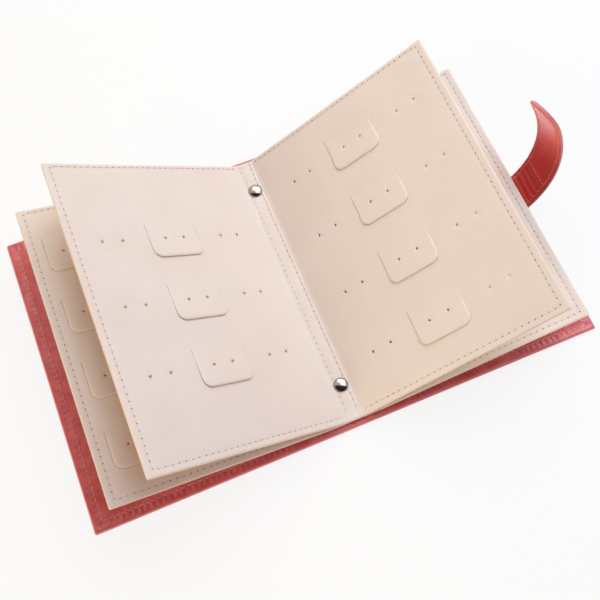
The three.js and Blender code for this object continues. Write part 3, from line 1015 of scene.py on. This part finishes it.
def rivet_head(name, y):
    """Domed head with a rolled rim, on its post."""
    low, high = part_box(name)
    radius = (high.x - low.x) / 2
    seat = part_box("inner_folio_strip")[1].z
    post = RIVET_POST * radius
    profile = [(post, seat - RIVET_POST_LENGTH), (post, seat)]
    profile += [(radius - RIVET_ROLL, seat + RIVET_LIP), (radius, seat + RIVET_ROLL)]
    profile += [(radius - RIVET_LIP, seat + RIVET_RIM)]
    for angle in steps(RIVET_DOME_STEP, math.pi / 2, RIVET_DOME_STEP):
        rise = (high.z - seat - RIVET_RIM) * math.sin(angle)
        out = max(radius * math.cos(angle) - RIVET_DOME_INSET, RIVET_DOME_TOP)
        profile.append((out, seat + RIVET_RIM + rise))
    return lathe(f"{name}_head", y, profile, NICKEL)


def rivet_cap(name, y):
    """Nearly flat cap behind the spine."""
    low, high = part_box(f"{name}_back")
    radius = (high.x - low.x) / 2
    profile = [(0.3 * radius, -0.25 * MM), (0.8 * radius, -0.15 * MM)]
    profile += [(radius, 0.15 * MM), (radius, high.z)]
    return lathe(f"{name}_cap", y, profile, NICKEL)


def rivets():
    """The two rivets through the strips and the spine."""
    for name in ("upper_rivet", "lower_rivet"):
        low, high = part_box(name)
        y = (low.y + high.y) / 2
        for piece, node in ((rivet_head(name, y), name), (rivet_cap(name, y), f"{name}_back")):
            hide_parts(node)
            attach(piece, "spine")


# Strap

STRAP_ROOT = JOINTS["strap_base_bend"]["pos_m"]
STRAP_LINES = [0.15 * MM, 0.5 * MM, 1.0 * MM, 1.7 * MM, 2.5 * MM]
STRAP_LINES += [STRAP_SEAM + offset * MM for offset in (0.0, 0.8, 2.0)]


def strap_place(u, v, z):
    """Maps strap coordinates, length along its lined face and height over it, to the curl."""
    u, v, z = np.atleast_1d(u), np.atleast_1d(v), np.atleast_1d(z)
    share = np.maximum(u, 0) / STRAP_LENGTH
    direction = STRAP_RISE + np.maximum(u, 0) / STRAP_CURL
    before = np.minimum(u, 0)
    twist = STRAP_TWIST * share**2
    x = STRAP_CURL * (np.sin(direction) - math.sin(STRAP_RISE)) + before * math.cos(STRAP_RISE)
    y = STRAP_LEAN * share**2
    height = STRAP_CURL * (math.cos(STRAP_RISE) - np.cos(direction)) + before * math.sin(STRAP_RISE)
    aside = v * np.cos(twist) - z * np.sin(twist)
    out = v * np.sin(twist) + z * np.cos(twist)
    placed = np.column_stack([x - out * np.sin(direction), y + aside, height + out * np.cos(direction)])
    placed += np.array(STRAP_ROOT)
    placed[:, 2] = np.maximum(placed[:, 2], STRAP_LOWEST)
    return placed


def strap_heights(panel):
    """Front and back height functions of the strap, wrinkled near its root."""
    def front(u, v):
        distance = panel.edge_distance(u, v)
        seam = -SEAM_SINK * ridge(distance, STRAP_SEAM, STRAP_SEAM_WIDTH)
        cross = -STRAP_CROSS_SINK * ridge(u, STRAP_CROSS_SEAM, STRAP_CROSS_WIDTH)
        base = smooth(STRAP_CROSS_SEAM - u, 0.0, 5 * MM)
        drift = STRAP_DRIFT * waves(u, v, size=14 * MM, seed=5.7)
        crease = np.sin(2 * math.pi * (u + drift) / STRAP_CREASE)
        wrinkle = STRAP_WRINKLE * base * crease * smooth(distance, 0.5 * MM, 3 * MM)
        return -fall(distance, *STRAP_RIM) + seam + cross + wrinkle

    def back(u, v):
        distance = panel.edge_distance(u, v)
        plates = 1 - scales(u, v, seed=21.0)
        relief = STRAP_SCALE_DEPTH * plates * smooth(distance, 0.5 * MM, 2 * MM)
        return -STRAP_THICKNESS + fall(distance, *STRAP_RIM) + relief

    return front, back


def strap():
    """Closing strap: a short wrinkled base and the long lined end with a round tip."""
    whole = Panel(-STRAP_TUCK, STRAP_LENGTH, STRAP_HALF, STRAP_HALF)
    base = Panel(-STRAP_TUCK, STRAP_SPLIT, STRAP_HALF, open_end=True)
    tip = Panel(STRAP_SPLIT, STRAP_LENGTH, STRAP_HALF, STRAP_HALF)
    front, back = strap_heights(whole)
    parts = [
        ("strap_base", base, "back_cover", STRAP_BASE_BEND),
        ("strap_end", tip, "strap_base", STRAP_END_BEND),
    ]
    for name, panel, near, bend in parts:
        flat, faces = triangles(panel, STRAP_LINES, spacing=1.6 * MM, grid=1.1 * MM)
        u, v = flat[:, 0], flat[:, 1]
        # The rim band and edge walls take the pink painted highlight
        body = shell(f"{name}_band", flat, faces, front(u, v), back(u, v), strap_place,
                     [STRAP_LINING_LIT, RED_CLOTH, RED_EDGE_HIGHLIGHT], whole.edge_distance(u, v) < STRAP_HIGHLIGHT_BAND)
        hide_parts(*(f"{name}_{part}" for part in ("skin", "filler", "lining")))
        rows = panel.lines(STRAP_SEAM, STRAP_SEAM_STEP)
        if panel.open_end:
            across = steps(STRAP_SEAM - STRAP_HALF, STRAP_HALF - STRAP_SEAM, STRAP_SEAM_STEP)
            rows.append([(STRAP_CROSS_SEAM, v) for v in across])
        seam = sewing(f"{name}_seam", rows, STRAP_STITCH, strap_place, front, 1,
                      [STRAP_THREAD, STRAP_THREAD], STRAP_THREAD_RADIUS, STRAP_PIT_RADIUS)
        start, end = (strap_place(length, 0.0, 0.0)[0] for length in bend)
        for piece in (body, seam):
            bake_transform(piece)


def magnets():
    """Steel for the two hidden magnets, which keep their shapes from the frame."""
    for node in ("front_cover_magnet", "strap_magnet"):
        mesh = frame["nodes"][node].data
        mesh.materials.clear()
        mesh.materials.append(MAGNET)


# Floor, light and camera

def seen(nodes, links):
    """One for rays that show the background: to the camera, in reflections and through clear things."""
    path = nodes.new("ShaderNodeLightPath")
    shown = path.outputs["Is Camera Ray"]
    for kind in ("Is Glossy Ray", "Is Transmission Ray"):
        either = nodes.new("ShaderNodeMath")
        either.operation = "MAXIMUM"
        links.new(shown, either.inputs[0])
        links.new(path.outputs[kind], either.inputs[1])
        shown = either.outputs["Value"]
    return shown


def floor():
    """Pale floor that keeps the shadow, nearly white to the camera and to reflections."""
    material, nodes, links, bsdf = shader("pale_floor")
    bsdf.inputs["Base Color"].default_value = linear(246, 245, 244)
    bsdf.inputs["Roughness"].default_value = 0.9
    bsdf.inputs["Specular IOR Level"].default_value = 0.1
    glow = nodes.new("ShaderNodeEmission")
    glow.inputs["Strength"].default_value = 1.0
    share = nodes.new("ShaderNodeMath")
    share.operation = "MULTIPLY"
    share.inputs[1].default_value = FLOOR_GLOW
    links.new(seen(nodes, links), share.inputs[0])
    mix = nodes.new("ShaderNodeMixShader")
    links.new(share.outputs["Value"], mix.inputs["Fac"])
    links.new(bsdf.outputs["BSDF"], mix.inputs[1])
    links.new(glow.outputs["Emission"], mix.inputs[2])
    links.new(mix.outputs["Shader"], nodes["Material Output"].inputs["Surface"])
    square = ((-1, -1), (1, -1), (1, 1), (-1, 1))
    corners = [(FLOOR_HALF * x, FLOOR_HALF * y, -FLOOR_DROP) for x, y in square]
    ground = new_object("floor", corners, [(0, 1, 2, 3)], [material], [0])


def dark_card():
    """Dark card in front of the book, which only reflections show."""
    material, _, _, bsdf = shader("dark_card")
    bsdf.inputs["Base Color"].default_value = linear(58, 46, 42)
    bsdf.inputs["Roughness"].default_value = 1.0
    bsdf.inputs["Specular IOR Level"].default_value = 0.0
    foot = (-CARD_AWAY, CARD_LOW)
    head = (CARD_LEAN - CARD_AWAY, CARD_HIGH)
    corners = [(-CARD_HALF, *foot), (CARD_HALF, *foot), (CARD_HALF, *head), (-CARD_HALF, *head)]
    card = new_object("dark_card", corners, [(0, 1, 2, 3)], [material], [0])
    card.rotation_euler.z = CARD_TURN
    card.visible_camera = False
    card.visible_diffuse = False
    card.visible_transmission = False
    card.visible_shadow = False


def surround():
    """Dim warm surround above the floor, white to the camera and to reflections."""
    world = bpy.data.worlds.new("studio")
    world.use_nodes = True
    nodes, links = world.node_tree.nodes, world.node_tree.links
    warm = (0.20, 0.07, 0.035, 1.0)
    white = (1.0, 1.0, 1.0, 1.0)
    shade = mixed(nodes, links, seen(nodes, links), warm, white)
    links.new(shade, nodes["Background"].inputs["Color"])
    bpy.context.scene.world = world


def lamp(name, spot, width, height, power, colour):
    """Soft box that faces the middle of the book."""
    data = bpy.data.lights.new(name, "AREA")
    data.shape = "RECTANGLE"
    data.size = width
    data.size_y = height
    data.energy = power
    data.color = colour
    holder = bpy.data.objects.new(name, data)
    holder.location = spot
    holder.rotation_euler = (-Vector(spot)).to_track_quat("-Z", "Y").to_euler()
    bpy.context.scene.collection.objects.link(holder)


def light():
    """Large soft light behind and to the right, a cool one above and a low warm one from the left front."""
    surround()
    lamp("key", (0.50, 0.75, 0.95), width=1.5, height=1.0, power=11.9, colour=(0.95, 1.0, 0.92))
    lamp("top", (0.55, 0.0, 1.2), width=1.0, height=1.0, power=8.8, colour=(0.58, 0.78, 1.0))
    lamp("fill", (-1.1, -0.6, 0.55), width=1.2, height=0.8, power=10.2, colour=(1.0, 0.97, 0.72))


def camera():
    """Camera at the photograph's place."""
    data = bpy.data.cameras.new("camera")
    data.sensor_width = CAMERA_SENSOR
    data.lens = CAMERA_LENS
    data.clip_start = CAMERA_CLIP
    right = CAMERA_DOWN.cross(CAMERA_FORWARD)
    axes = Matrix((right, -CAMERA_DOWN, -CAMERA_FORWARD)).transposed()
    view = bpy.data.objects.new("camera", data)
    view.matrix_world = Matrix.Translation(CAMERA_SPOT) @ axes.to_4x4()
    bpy.context.scene.collection.objects.link(view)
    bpy.context.scene.camera = view


camera()
floor()
dark_card()
light()
spine()
cover("front_cover", -1)
cover("back_cover", 1)
for leaf_number, leaf_strip in ((1, "outer"), (2, "inner"), (3, "inner"), (4, "outer")):
    fold(leaf_number, leaf_strip)
    leaf(leaf_number)
rivets()
strap()
magnets()
bpy.context.scene.view_settings.view_transform = "Standard"
